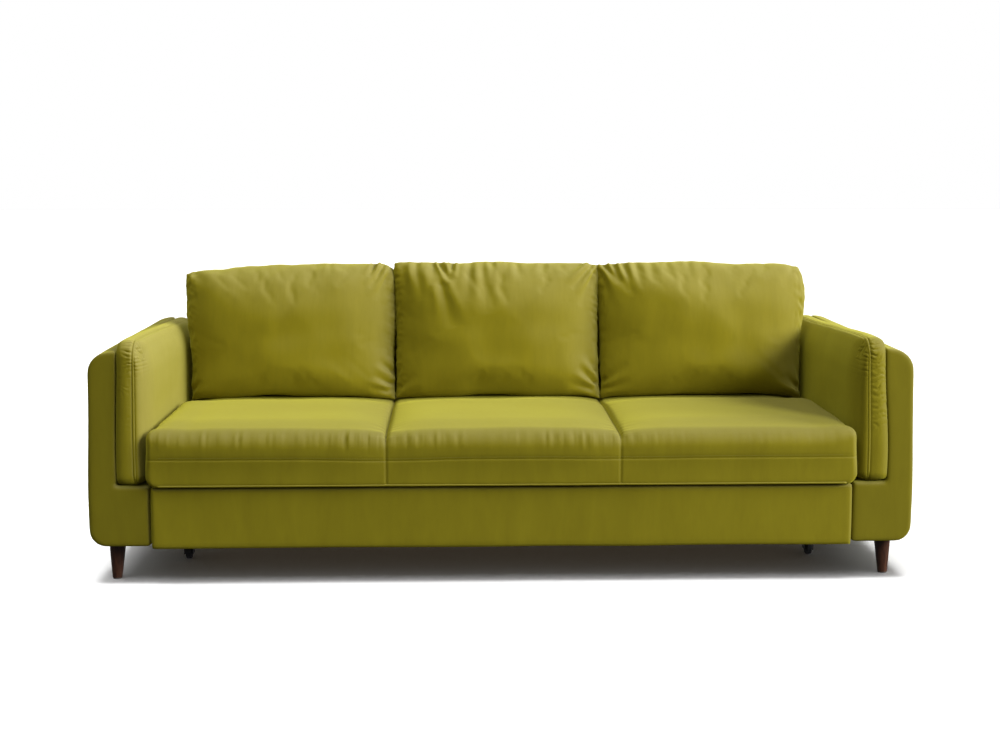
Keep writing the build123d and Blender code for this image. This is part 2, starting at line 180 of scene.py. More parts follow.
def new_material(name, colour, roughness, metallic=0.0):
    """A Principled material with its plain values set."""
    material = bpy.data.materials.new(name)
    material.use_nodes = True
    shader = material.node_tree.nodes["Principled BSDF"]
    shader.inputs["Base Color"].default_value = (*colour, 1)
    shader.inputs["Roughness"].default_value = roughness
    shader.inputs["Metallic"].default_value = metallic
    return material


class Nodes:
    """Short calls for building one material's node tree."""

    def __init__(self, material):
        self.tree = material.node_tree
        self.shader = self.tree.nodes["Principled BSDF"]
        coordinates = self.tree.nodes.new("ShaderNodeTexCoord").outputs
        self.place = coordinates["Object"]
        self.facing = coordinates["Normal"]

    def add(self, kind, inputs=(), **settings):
        """A node with its settings, and each input linked to a socket or set to a value."""
        node = self.tree.nodes.new(kind)
        for key, value in settings.items():
            setattr(node, key, value)
        for key, value in dict(inputs).items():
            if hasattr(value, "is_linked"):
                self.tree.links.new(value, node.inputs[key])
            else:
                node.inputs[key].default_value = value
        return node

    def scaled(self, x, y, z):
        """Object coordinates stretched along each axis."""
        return self.add("ShaderNodeMapping", {"Vector": self.place, "Scale": (x, y, z)}).outputs[0]

    def noise(self, scale, detail=2.0, rough=0.5, vector=None, distortion=0.0):
        """A noise value; vector defaults to plain object coordinates."""
        inputs = {"Vector": vector or self.place, "Scale": scale, "Detail": detail}
        inputs.update({"Roughness": rough, "Distortion": distortion})
        return self.add("ShaderNodeTexNoise", inputs).outputs["Fac"]

    def ramp(self, value, stops):
        """A colour ramp with (position, colour) stops."""
        node = self.add("ShaderNodeValToRGB", {"Fac": value})
        band = node.color_ramp
        while len(band.elements) < len(stops):
            band.elements.new(0.5)
        for element, (position, colour) in zip(band.elements, stops):
            element.position = position
            element.color = (*colour, 1)
        return node.outputs["Color"]

    def share(self, value, low, high, most):
        """A factor that rises from 0 at low to most at high."""
        return self.ramp(value, ((low, (0.0,) * 3), (high, (most,) * 3)))

    def mix(self, factor, a, b):
        """Colour a to colour b by factor."""
        node = self.add("ShaderNodeMix", data_type="RGBA")
        for socket, value in ((node.inputs[0], factor), (node.inputs[6], a), (node.inputs[7], b)):
            if hasattr(value, "is_linked"):
                self.tree.links.new(value, socket)
            else:
                socket.default_value = value if isinstance(value, float) else (*value, 1)
        return node.outputs[2]

    def bump(self, height, distance, strength, normal=None):
        """A bumped normal, on top of another one where it is given."""
        inputs = {"Height": height, "Distance": distance, "Strength": strength}
        if normal is not None:
            inputs["Normal"] = normal
        return self.add("ShaderNodeBump", inputs).outputs[0]

    def finish(self, colour=None, roughness=None, normal=None):
        """Links what is given to the shader."""
        for key, value in (("Base Color", colour), ("Roughness", roughness), ("Normal", normal)):
            if value is not None:
                self.tree.links.new(value, self.shader.inputs[key])


def shaded(tone, shade):
    """A colour made darker or lighter."""
    return tuple(value * shade for value in tone)


# the velvet's three body colours, and a paler colour painted on faces turned up and to the right: a
# painted highlight where the lights fall
OLIVE_DEEP = (0.185, 0.153, 0.0030)
OLIVE = (0.205, 0.171, 0.0040)
OLIVE_PALE = (0.225, 0.189, 0.0055)
OLIVE_PAINTED_HIGHLIGHT = (0.245, 0.212, 0.060)
PAINTED_LIGHT_DIRECTION = (0.62, 0.0, 0.78)  # faces turned this way get the painted highlight
OLIVE_SHEEN = (1.0, 0.95, 0.08, 1)


def velvet(name="velvet", shade=1.0, highlight_shade=0.84):
    """Short-pile velvet: brushed streaks, soft mottling, a fine pile, a pale sheen and a painted
    highlight.

    shade darkens all of its colours, which makes painted-shade copies, and the second shade darkens
    the painted highlight once more.
    """
    material = new_material(name, OLIVE, 0.85)
    n = Nodes(material)
    shader = n.shader
    shader.inputs["Specular IOR Level"].default_value = 0.15
    shader.inputs["Sheen Weight"].default_value = 0.36
    shader.inputs["Sheen Roughness"].default_value = 0.55
    shader.inputs["Sheen Tint"].default_value = OLIVE_SHEEN
    brushed = n.noise(5.0, 4.0, 0.55, n.scaled(3.0, 3.0, 0.8), 0.6)
    streaks = n.noise(95.0, 3.0, 0.6, n.scaled(1.0, 0.16, 0.16), 0.4)
    mottled = n.noise(38.0, 3.0, 0.6, n.scaled(1.0, 1.0, 0.45))
    pile = n.noise(900.0, 1.0, 0.5)
    deep, mid, pale = (shaded(tone, shade) for tone in (OLIVE_DEEP, OLIVE, OLIVE_PALE))
    painted_highlight = shaded(OLIVE_PAINTED_HIGHLIGHT, shade * highlight_shade)
    dark = shaded(deep, 0.72)
    colour = n.ramp(brushed, ((0.30, deep), (0.52, mid), (0.74, pale)))
    colour = n.mix(n.share(mottled, 0.35, 0.75, 0.35), colour, pale)
    colour = n.mix(n.share(pile, 0.4, 0.9, 0.25), colour, deep)
    # painted highlight: faces turned up and to the right, towards the lights, are painted paler
    towards = n.add("ShaderNodeVectorMath", {0: n.facing, 1: PAINTED_LIGHT_DIRECTION}, operation="DOT_PRODUCT")
    turned = {"Value": towards.outputs["Value"], "From Min": 0.05, "From Max": 0.85}
    colour = n.mix(n.add("ShaderNodeMapRange", turned).outputs[0], colour, painted_highlight)
    colour = n.mix(n.share(streaks, 0.42, 0.75, 0.13), colour, dark)
    normal = n.bump(streaks, 0.0010, 0.10, n.bump(mottled, 0.0009, 0.5))
    n.finish(colour=colour, normal=n.bump(pile, 0.0006, 0.35, normal))
    return material


def walnut():
    """Dark stained walnut, its grain running up the leg, under a satin lacquer."""
    material = new_material("walnut", (0.05, 0.02, 0.01), 0.38)
    n = Nodes(material)
    n.shader.inputs["Coat Weight"].default_value = 0.25
    n.shader.inputs["Coat Roughness"].default_value = 0.25
    grain = n.noise(9.0, 6.0, 0.6, n.scaled(14.0, 14.0, 1.2), 1.2)
    pores = n.noise(240.0, 2.0, 0.5, n.scaled(1.0, 1.0, 0.06))
    dark, mid, light = (0.028, 0.010, 0.005), (0.072, 0.027, 0.013), (0.130, 0.056, 0.026)
    colour = n.ramp(grain, ((0.32, dark), (0.55, mid), (0.78, light)))
    colour = n.mix(n.share(pores, 0.55, 0.75, 0.6), colour, (0.012, 0.005, 0.002))
    n.finish(colour=colour, normal=n.bump(pores, 0.0003, 0.25))
    return material


def sawn_wood(name, light, dark, along):
    """Plain wood whose grain runs along one axis (0, 1 or 2)."""
    material = new_material(name, light, 0.65)
    n = Nodes(material)
    stretch = [16.0, 16.0, 16.0]
    stretch[along] = 0.9
    grain = n.noise(4.0, 6.0, 0.6, n.scaled(*stretch), 0.8)
    fibre = n.noise(60.0, 2.0, 0.5, n.scaled(*[s / 4 for s in stretch]))
    middle = tuple((a + b) / 2 for a, b in zip(light, dark))
    colour = n.ramp(grain, ((0.34, dark), (0.52, middle), (0.72, light)))
    n.finish(colour=colour, normal=n.bump(fibre, 0.0004, 0.3))
    return material


def chipboard():
    """Raw particle board: flat flakes of several tones."""
    material = new_material("chipboard", (0.5, 0.37, 0.22), 0.8)
    n = Nodes(material)
    flakes = n.add("ShaderNodeTexVoronoi", {"Vector": n.place, "Scale": 260.0}).outputs["Color"]
    tone = n.add("ShaderNodeSeparateColor", {"Color": flakes}).outputs[0]
    dark, mid, light = (0.34, 0.23, 0.12), (0.50, 0.37, 0.22), (0.64, 0.50, 0.33)
    colour = n.ramp(tone, ((0.1, dark), (0.5, mid), (0.9, light)))
    n.finish(colour=colour, normal=n.bump(tone, 0.0003, 0.3))
    return material


def powder_coat():
    """Black powder-coated steel with its fine orange peel."""
    material = new_material("powder_coat", (0.018, 0.018, 0.020), 0.48)
    n = Nodes(material)
    peel = n.noise(700.0, 2.0, 0.5)
    dust = n.noise(16.0, 4.0, 0.6)
    colour = n.ramp(dust, ((0.4, (0.014, 0.014, 0.016)), (0.8, (0.030, 0.030, 0.031))))
    n.finish(colour=colour, normal=n.bump(peel, 0.0002, 0.3))
    return material


def zinc():
    """Zinc-plated steel, drawn lengthwise."""
    material = new_material("zinc", (0.62, 0.63, 0.64), 0.36, 1.0)
    n = Nodes(material)
    drawn = n.noise(120.0, 3.0, 0.6, n.scaled(1.0, 0.05, 1.0))
    tarnish = n.noise(20.0, 3.0, 0.5)
    rough = n.add("ShaderNodeMapRange", {"Value": tarnish, "To Min": 0.28, "To Max": 0.5}).outputs[0]
    colour = n.ramp(drawn, ((0.3, (0.50, 0.51, 0.53)), (0.7, (0.68, 0.69, 0.70))))
    n.finish(colour=colour, roughness=rough, normal=n.bump(drawn, 0.0002, 0.2))
    return material


def moulded(name, colour, roughness, grain):
    """Moulded nylon, rubber or pressed felt, with a surface grain of that many per metre."""
    material = new_material(name, colour, roughness)
    n = Nodes(material)
    texture = n.noise(grain, 3.0, 0.6)
    low = shaded(colour, 0.8)
    high = tuple(min(1.0, value * 1.15) for value in colour)
    n.finish(colour=n.ramp(texture, ((0.35, low), (0.7, high))), normal=n.bump(texture, 0.0004, 0.4))
    return material


# Mesh tools ------------------------------------------------------------------


def graded(low, high, step, crowd=0.0):
    """Coordinates from low to high about step apart, closer together at both ends by crowd."""
    count = max(2, round((high - low) / step))
    t = np.linspace(0, 1, count + 1)
    return low + (high - low) * (t - crowd * np.sin(2 * np.pi * t) / (2 * np.pi))


def joined(stops, step, crowd):
    """Graded stretches between neighbouring stops, as one run of coordinates."""
    runs = [graded(a, b, step, crowd) for a, b in zip(stops, stops[1:])]
    return np.concatenate([runs[0]] + [run[1:] for run in runs[1:]])


def box_grid(xs, ys, zs):
    """Vertices and outward quads of a closed box with those grid coordinates."""
    grids = (np.asarray(xs), np.asarray(ys), np.asarray(zs))
    quads = []
    for fixed in range(3):
        a, b = (fixed + 1) % 3, (fixed + 2) % 3
        first, second = np.meshgrid(
            np.arange(len(grids[a]) - 1), np.arange(len(grids[b]) - 1), indexing="ij"
        )
        for end in (0, len(grids[fixed]) - 1):
            corners = []
            for da, db in ((0, 0), (1, 0), (1, 1), (0, 1)):
                corner = np.zeros(first.shape + (3,), dtype=int)
                corner[..., fixed] = end
                corner[..., a] = first + da
                corner[..., b] = second + db
                corners.append(corner)
            if end == 0:
                corners.reverse()
            quads.append(np.stack(corners, axis=2).reshape(-1, 4, 3))
    triples = np.concatenate(quads).reshape(-1, 3)
    unique, index = np.unique(triples, axis=0, return_inverse=True)
    verts = np.stack([grid[unique[:, axis]] for axis, grid in enumerate(grids)], axis=1)
    return verts, index.reshape(-1, 4)


def rounded(verts, low, high, radii, radii_low=None):
    """Rounds a box grid's edges and corners; radii are per axis, radii_low at the low ends."""
    radii = np.asarray(radii, dtype=float)
    radii_low = radii if radii_low is None else np.asarray(radii_low, dtype=float)
    inner = np.clip(verts, np.asarray(low) + radii_low, np.asarray(high) - radii)
    offset = verts - inner
    scale = np.where(offset < 0, radii_low, radii)
    away = offset / scale
    length = np.linalg.norm(away, axis=1, keepdims=True)
    direction = np.divide(away, length, out=np.zeros_like(away), where=length > 1e-9)
    return inner + direction * scale


def vertex_normals(verts, faces):
    """Outward unit normals of a quad mesh's vertices."""
    corners = verts[faces]
    flat = np.cross(corners[:, 2] - corners[:, 0], corners[:, 3] - corners[:, 1])
    normals = np.zeros_like(verts)
    for k in range(4):
        np.add.at(normals, faces[:, k], flat)
    return normals / np.maximum(np.linalg.norm(normals, axis=1, keepdims=True), 1e-12)


def relaxed(verts, faces, rounds, weight=0.5):
    """Moves each vertex towards the mean of its neighbours, a number of times."""
    ends = np.concatenate([faces[:, [k, (k + 1) % 4]] for k in range(4)])
    ends = np.concatenate([ends, ends[:, ::-1]])
    count = np.bincount(ends[:, 0], minlength=len(verts))[:, None]
    for _ in range(rounds):
        total = np.zeros_like(verts)
        np.add.at(total, ends[:, 0], verts[ends[:, 1]])
        verts = verts + weight * (total / count - verts)
    return verts


def new_object(name, verts, faces):
    """A plain mesh object in the scene; faces are an array of quads or a list."""
    mesh = bpy.data.meshes.new(name)
    quads = faces.tolist() if isinstance(faces, np.ndarray) else faces
    mesh.from_pydata(np.asarray(verts).tolist(), [], quads)
    piece = bpy.data.objects.new(name, mesh)
    bpy.context.scene.collection.objects.link(piece)
    return piece


def add_piece(name, verts, faces, material, body):
    """A smooth-shaded piece in the given material that rides on a body."""
    piece = new_object(name, verts, faces)
    piece.data.shade_smooth()
    piece.data.materials.append(material)
    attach(piece, body)
    return piece


def taken(piece):
    """An object's vertices and quads as its modifiers leave them; the object is removed."""
    shape = piece.evaluated_get(bpy.context.evaluated_depsgraph_get()).to_mesh()
    points = np.empty(len(shape.vertices) * 3)
    shape.vertices.foreach_get("co", points)
    corners = np.empty(len(shape.loops), dtype=int)
    shape.loops.foreach_get("vertex_index", corners)
    assert len(corners) == 4 * len(shape.polygons)
    mesh = piece.data
    bpy.data.objects.remove(piece)
    bpy.data.meshes.remove(mesh)
    return points.reshape(-1, 3), corners.reshape(-1, 4)


def remeshed(verts, faces, voxel):
    """A closed mesh rebuilt in even quads of about that size."""
    piece = new_object("rough", verts, faces)
    modifier = piece.modifiers.new("voxels", "REMESH")
    modifier.mode = "VOXEL"
    modifier.voxel_size = voxel
    return taken(piece)


def subdivided(verts, faces):
    """Two rounds of Catmull-Clark subdivision."""
    piece = new_object("coarse", verts, faces)
    piece.modifiers.new("finer", "SUBSURF").levels = 2
    return taken(piece)


def bell(distance, width):
    """1 at distance 0, falling smoothly to nothing a few widths away."""
    return np.exp(-((distance / width) ** 2))


def step_up(value, low, high):
    """0 below low, 1 above high, smooth between."""
    t = np.clip((value - low) / (high - low), 0, 1)
    return t * t * (3 - 2 * t)


HILL_WAVES = 24


def hills(points, seed, scale):
    """Smooth random height, about -1 to 1, from seeded plane waves of roughly that wavelength."""
    draw = np.random.default_rng(seed)
    total = np.zeros(len(points))
    for _ in range(HILL_WAVES):
        direction = draw.normal(size=3)
        direction /= np.linalg.norm(direction)
        wave = 2 * np.pi / (scale * draw.uniform(0.6, 1.6))
        total += np.sin(points @ direction * wave + draw.uniform(0, 2 * np.pi))
    return total / math.sqrt(HILL_WAVES)


def tube(name, path, radius, material, body, sides=10):
    """A closed round tube along an array of points."""
    forward = np.gradient(path, axis=0)
    forward /= np.linalg.norm(forward, axis=1, keepdims=True)
    up = np.array([0.0, 0.0, 1.0]) if abs(forward[0][2]) < 0.9 else np.array([0.0, 1.0, 0.0])
    rings = []
    for point, ahead in zip(path, forward):
        across = np.cross(ahead, up)
        across /= np.linalg.norm(across)
        up = np.cross(across, ahead)
        angles = np.linspace(0, 2 * np.pi, sides, endpoint=False)[:, None]
        rings.append(point + radius * (np.cos(angles) * across + np.sin(angles) * up))
    verts = np.concatenate(rings)
    faces = []
    for ring in range(len(path) - 1):
        for k in range(sides):
            after = (k + 1) % sides
            base, above = ring * sides, (ring + 1) * sides
            faces.append((base + k, above + k, above + after, base + after))
    faces.append(tuple(range(sides)))
    faces.append(tuple(reversed(range(len(verts) - sides, len(verts)))))
    add_piece(name, verts, faces, material, body)


CLOTH_PRESSURE = 3.5
CLOTH_FRAMES = 24
CLOTH_MASS = 0.3
CLOTH_STIFFNESS = 20.0
CLOTH_BENDING = 0.5


def inflated(verts, faces, pinned, shrink):
    """A closed mesh's vertices once Blender's cloth has blown it up; the pinned ones stay."""
    piece = new_object("inflating", verts, faces)
    group = piece.vertex_groups.new(name="pins")
    group.add(np.nonzero(pinned)[0].tolist(), 1.0, "REPLACE")
    cloth = piece.modifiers.new("cloth", "CLOTH")
    settings = cloth.settings
    settings.quality = 5
    settings.mass = CLOTH_MASS
    settings.tension_stiffness = CLOTH_STIFFNESS
    settings.compression_stiffness = CLOTH_STIFFNESS
    settings.shear_stiffness = CLOTH_STIFFNESS / 3
    settings.bending_stiffness = CLOTH_BENDING
    settings.use_pressure = True
    settings.uniform_pressure_force = CLOTH_PRESSURE
    settings.shrink_min = shrink
    settings.effector_weights.gravity = 0
    settings.vertex_group_mass = "pins"
    cloth.collision_settings.use_collision = False
    cloth.point_cache.frame_start = 1
    cloth.point_cache.frame_end = CLOTH_FRAMES
    scene = bpy.context.scene
    for number in range(1, CLOTH_FRAMES + 1):
        scene.frame_set(number)
    points, _ = taken(piece)
    scene.frame_set(1)
    return points


# The pieces ------------------------------------------------------------------


def limits(node):
    """A node's lowest and highest corner, as two arrays."""
    low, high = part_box(node)
    return np.array(low), np.array(high)


make_camera()
make_studio()

# Lit and shaded copies of the velvet: each piece is painted darker by the shade it should fall in, as
# painted shade, and its painted highlight is made stronger or weaker.
VELVET = velvet()
VELVET_SEAT_SHADED = velvet("velvet_seat_shaded", 0.85, 0.70)
VELVET_PANEL_SHADED = velvet("velvet_panel_shaded", 0.86)
VELVET_ARM_SHADED = velvet("velvet_arm_shaded", 0.66, 0.95)
# painted light: the left pad, which faces the side light, gets a stronger painted highlight than the
# right pad
VELVET_PAD_LIT_AND_SHADED = {
    -1: velvet("velvet_pad_left_lit", 0.84, 1.06),
    1: velvet("velvet_pad_right_shaded", 0.84, 0.66),
}
VELVET_PIPING_SHADED = velvet("velvet_piping_shaded", 0.92)
THREAD = moulded("thread", (0.16, 0.14, 0.01), 0.6, 2500.0)


def upholstered(name, verts, faces, body, nodes, cloth):
    """A padded piece in the given velvet that stands for the named CAD nodes."""
    piece = add_piece(name, verts, faces, cloth, body)
    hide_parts(*nodes)


def surface_of(verts, faces):
    """A search tree over a mesh, for laying seams on it."""
    return BVHTree.FromPolygons(np.asarray(verts).tolist(), np.asarray(faces).tolist())


def laid_on(surface, starts, directions):
    """Where rays from the starts meet a surface."""
    hits = [surface.ray_cast(Vector(a), Vector(b))[0] for a, b in zip(starts, directions)]
    return np.array([hit for hit in hits if hit is not None])


# Arms ------------------------------------------------------------------------

SHELL_CORNER = 0.05  # radius of the arm's outer corners
SHELL_VOXEL = 0.006
SHELL_RISE = 0.013  # how much higher the arm's top stands where it meets the pad
PIPING_X = 1.041  # the piped seam's distance from the middle
PIPING_R = 0.0036
PAD_SINK = 0.026  # how much lower the pad's top is at the rear
PAD_NOSE = 0.046  # radius of the pad's front
PAD_TUCK = 0.017  # the rounded block runs this far into the arm before it is cut flat
# how far the pad's outer side leans in, at its foot and at its top
PAD_TUCK_IN = {-1: (0.008, 0.018), 1: (0.001, 0.017)}
PAD_RUCHING = {-1: 0.0010, 1: 0.0036}  # depth of the folds down the outer strip
GATHER_PITCH = 0.0125
GATHER_DEPTH = 0.0115
RUCHING_PITCH = 0.0190


def pad_tuck_in(side, z):
    """How far the meeting line of pad and arm lies inside its CAD place at height z."""
    below, above = PAD_TUCK_IN[side]
    return below + (above - below) * step_up(z, 0.35, 0.66)


def arm_cover(side, name):
    """The arm's stepped body: softly rounded over its boards."""
    low, high = limits(f"arm_cover_{name}")
    pad_low, pad_high = limits(f"arm_pad_{name}")
    outer = high[0] if side > 0 else -low[0]
    inner = -high[0] if side < 0 else low[0]
    step = pad_high[0] if side > 0 else -pad_low[0]
    ledge = pad_low[2] - 0.001
    corner = SHELL_CORNER
    arc = [(corner * math.sin(a), corner * math.cos(a)) for a in np.radians(range(0, 91, 10))]
    middle, below, above = outer - corner, low[2] + corner, high[2] - corner
    section = [(inner, low[2]), (step - 0.001, low[2])]
    section += [(middle + sine, below - cosine) for sine, cosine in arc]
    section += [(middle + cosine, above + sine) for sine, cosine in arc]
    section += [(step + 0.001, high[2]), (step + 0.001, ledge), (inner, ledge)]
    ring = [(side * x, z) for x, z in section]
    if side < 0:
        ring.reverse()
    count = len(ring)
    verts = [(x, y, z) for y in (low[1], high[1]) for x, z in ring]
    faces = [tuple(range(count)), tuple(reversed(range(count, 2 * count)))]
    faces += [(k, k + count, (k + 1) % count + count, (k + 1) % count) for k in range(count)]
    verts, faces = remeshed(verts, faces, SHELL_VOXEL)
    verts = relaxed(verts, faces, 6)
    x, y, z = side * verts[:, 0], verts[:, 1], verts[:, 2]
    across = np.clip((x - step) / (outer - step), 0, 1)
    beside_pad = step_up(z, ledge, ledge + 0.02) * step_up(x, inner, step)
    x = x - beside_pad * (1 - across) * pad_tuck_in(side, z)
    x = x - across * (0.0025 + 0.008 * step_up(z, 0.25, 0.65))  # the outer side leans in
    z = z + (0.008 + SHELL_RISE * (1 - across) ** 1.2) * step_up(z, 0.56, high[2])
    verts = np.stack([side * x, y, z], axis=1)
    verts += vertex_normals(verts, faces) * (0.0008 * hills(verts, 11 + side, 0.35))[:, None]
    nodes = [f"arm_cover_{name}", f"arm_carcass_{name}"]
    upholstered(f"arm_{name}_upholstery", verts, faces, "arms", nodes, VELVET_ARM_SHADED)


def seam_route(low, high):
    """Rays that find the pad's piped seam: up the front, over the corner and along the top."""
    front, top, rear = low[1], high[2], high[1]
    turn = PAD_NOSE + 0.03
    starts, directions = [], []
    for z in np.linspace(low[2] + 0.004, top - turn, 50):
        starts.append((front - 0.1, z))
        directions.append((1.0, 0.0))
    for angle in np.linspace(0, math.pi / 2, 20)[1:-1]:
        aim = (math.cos(angle), -math.sin(angle))
        starts.append((front + turn - 0.25 * aim[0], top - turn - 0.25 * aim[1]))
        directions.append(aim)
    for y in np.linspace(front + turn, rear - 0.02, 90):
        starts.append((y, top + 0.1))
        directions.append((0.0, -1.0))
    return starts, directions


def pleated(phase, sharpness=3.0):
    """Narrow valleys, one for each turn of the phase, with the cloth full between them."""
    return 0.35 - (1 - np.abs(np.sin(phase / 2))) ** sharpness


def pad_block(low, high):
    """The pad as a rounded block, cut flat on the arm's side, for the arm on the right."""
    (inner, front, bottom), (outer, rear, top) = low, high
    middle = front + 0.15
    xs = graded(inner, outer + PAD_TUCK, 0.0030)
    ys = np.concatenate([graded(front, middle, 0.0036), graded(middle, rear, 0.0085)[1:]])
    zs = [graded(bottom, 0.42, 0.0060), graded(0.42, 0.56, 0.0040)[1:], graded(0.56, top, 0.0026)[1:]]
    verts, faces = box_grid(xs, ys, np.concatenate(zs))
    ones = np.ones(len(verts))
    inward = 1 - step_up(verts[:, 0], inner, PIPING_X + 0.01)
    upper = step_up(verts[:, 2], 0.45, top)
    radii = np.stack([0.036 * ones, 0.03 * ones, PAD_NOSE + 0.058 * inward], axis=1)
    radii_low = np.stack([0.044 + 0.006 * upper, PAD_NOSE + 0.070 * inward, 0.022 * ones], axis=1)
    verts = rounded(verts, low, (outer + PAD_TUCK, rear, top), radii, radii_low)
    verts[:, 0] = np.minimum(verts[:, 0], outer)
    return relaxed(verts, faces, 4), faces


def pad_lift(side, verts, normals, front, top):
    """How far the pad's cloth stands out: its fullness, its seam's valley and its gathers."""
    x, y, z = verts.T
    facing_front = np.clip(-normals[:, 1], 0, 1)
    facing_top = np.clip(normals[:, 2], 0, 1)
    facing_in = np.clip(-normals[:, 0], 0, 1)
    skin = np.maximum(facing_front, facing_top)
    away = x - PIPING_X
    lift = 0.0035 * skin * bell(away - 0.026, 0.020)
    lift += 0.0025 * skin * bell(away + 0.018, 0.014)
    lift -= 0.0036 * skin * bell(away, 0.0045)
    lift += 0.0045 * facing_in * step_up(z, 0.47, 0.56) * bell(y + 0.18, 0.2)
    lift += 0.0006 * hills(verts, 31 + side, 0.25)
    # gathers across the seam, strongest where it turns over the front corner
    run = np.where(facing_front > facing_top, z - top, y - front)
    seam_place = np.stack([away, run, np.zeros_like(run)], axis=1)
    stray = hills(seam_place, 71 + side, 0.05)
    uneven = 0.75 + 0.35 * hills(seam_place, 91 + side, 0.03)
    turn = run * 2 * np.pi / GATHER_PITCH + 2.4 * stray
    fade = np.where(away < 0, bell(away, 0.030), bell(away, 0.024))
    gathered = bell(run + 0.022, 0.056) * fade * step_up(np.abs(away), 0.002, 0.007)
    lift += GATHER_DEPTH * gathered * uneven * pleated(turn) * np.maximum(skin, 0.8 * facing_in)
    # the outer strip is ruched further down
    ruched = step_up(z, 0.40, 0.50) * (1 - step_up(z, 0.62, 0.68)) * step_up(away, 0.003, 0.012)
    slant = z * 2 * np.pi / RUCHING_PITCH + 4.2 * stray - side * 50 * away
    lift += PAD_RUCHING[side] * ruched * uneven * pleated(slant, 2.2) * facing_front
    return lift


def arm_pad(side, name):
    """The thick pad on the arm's step, with a piped seam up its front and along its top.

    It is shaped as the right arm's, and mirrored for the left.
    """
    low, high = limits(f"arm_pad_{name}")
    inner, outer = (low[0], high[0]) if side > 0 else (-high[0], -low[0])
    front, rear, bottom, top = low[1], high[1], low[2], high[2] - 0.002
    low, high = (inner, front, bottom), (outer, rear, top)
    verts, faces = pad_block(low, high)
    normals = vertex_normals(verts, faces)
    verts = verts + normals * pad_lift(side, verts, normals, front, top)[:, None]
    share = np.clip((verts[:, 0] - inner) / (outer - inner), 0, 1)
    verts[:, 0] -= share * pad_tuck_in(side, verts[:, 2])
    rearward = step_up(verts[:, 1], front + 0.05, rear)
    verts[:, 2] -= PAD_SINK * rearward * step_up(verts[:, 2], 0.5, top)
    verts[:, 2] = np.maximum(verts[:, 2], bottom)
    starts, directions = seam_route(low, high)
    starts = [(piping_x(side, z), y, z) for y, z in starts]
    directions = [(0.0, y, z) for y, z in directions]
    path = laid_on(surface_of(verts, faces), starts, directions)
    if side < 0:
        verts[:, 0] *= -1
        path[:, 0] *= -1
        faces = faces[:, ::-1]
    nodes = [f"arm_pad_{name}"]
    upholstered(f"arm_pad_{name}_upholstery", verts, faces, "arms", nodes, VELVET_PAD_LIT_AND_SHADED[side])
    tube(f"arm_piping_{name}", smooth_path(path), PIPING_R, VELVET_PIPING_SHADED, "arms")


def piping_x(side, z):
    """Where the piped seam runs at height z: it leans in with the pad's outer side."""
    return PIPING_X - 0.45 * pad_tuck_in(side, z)


def smooth_path(path, rounds=3):
    """A list of points with its small steps evened out, its ends kept."""
    path = path.copy()
    for _ in range(rounds):
        path[1:-1] = path[1:-1] / 2 + (path[:-2] + path[2:]) / 4
    return path


# Seat ------------------------------------------------------------------------

SEAT_SECTIONS = 3
STITCH_SEAM_Z = 0.364
STITCH_GAP = 0.006
SEAT_CORNER_BULGE = 0.013  # the front corners swell out ahead of the arm pads
SEAT_SIDE_R = 0.018
SEAT_NOSE_R = 0.046
SEAT_TOP_R = 0.044
SEAT_REAR_R = 0.016
SEAT_FOOT_R = 0.014
SEAT_CROWN = 0.024  # how far each section rises between its channels
SEAT_FOLD = 0.0028  # depth of the small folds over the front edge


def seam_sag(x):
    """How far the front seam and its stitches hang down near the channels."""
    channel = 1 / SEAT_SECTIONS
    return 0.0050 * bell(x + channel, 0.16) + 0.0025 * bell(x - channel, 0.16)


def seat_block(low, high, channels):
    """The mattress as a rounded block, its grid closer at the channels and the front seam."""
    half, front, rear, bottom, top = high[0], low[1], high[1], low[2], high[2]
    middle = front + 0.12
    xs = joined((-half, *channels, half), 0.0036, 0.30)
    ys = np.concatenate([graded(front, middle, 0.0060), graded(middle, rear, 0.0110)[1:]])
    zs = joined((bottom, STITCH_SEAM_Z, top), 0.0045, 0.70)
    verts, faces = box_grid(xs, ys, zs)
    upper = step_up(verts[:, 2], bottom + 0.03, top - 0.03)
    ones = np.ones(len(verts))
    top_radius = SEAT_TOP_R - 0.018 * step_up(np.abs(verts[:, 0]), half - 0.08, half)
    radii = np.stack([SEAT_SIDE_R * ones, SEAT_REAR_R * ones, top_radius], axis=1)
    nose = SEAT_FOOT_R + (SEAT_NOSE_R - SEAT_FOOT_R) * upper
    radii_low = np.stack([SEAT_SIDE_R * ones, nose, SEAT_FOOT_R * ones], axis=1)
    return rounded(verts, low, high, radii, radii_low), faces


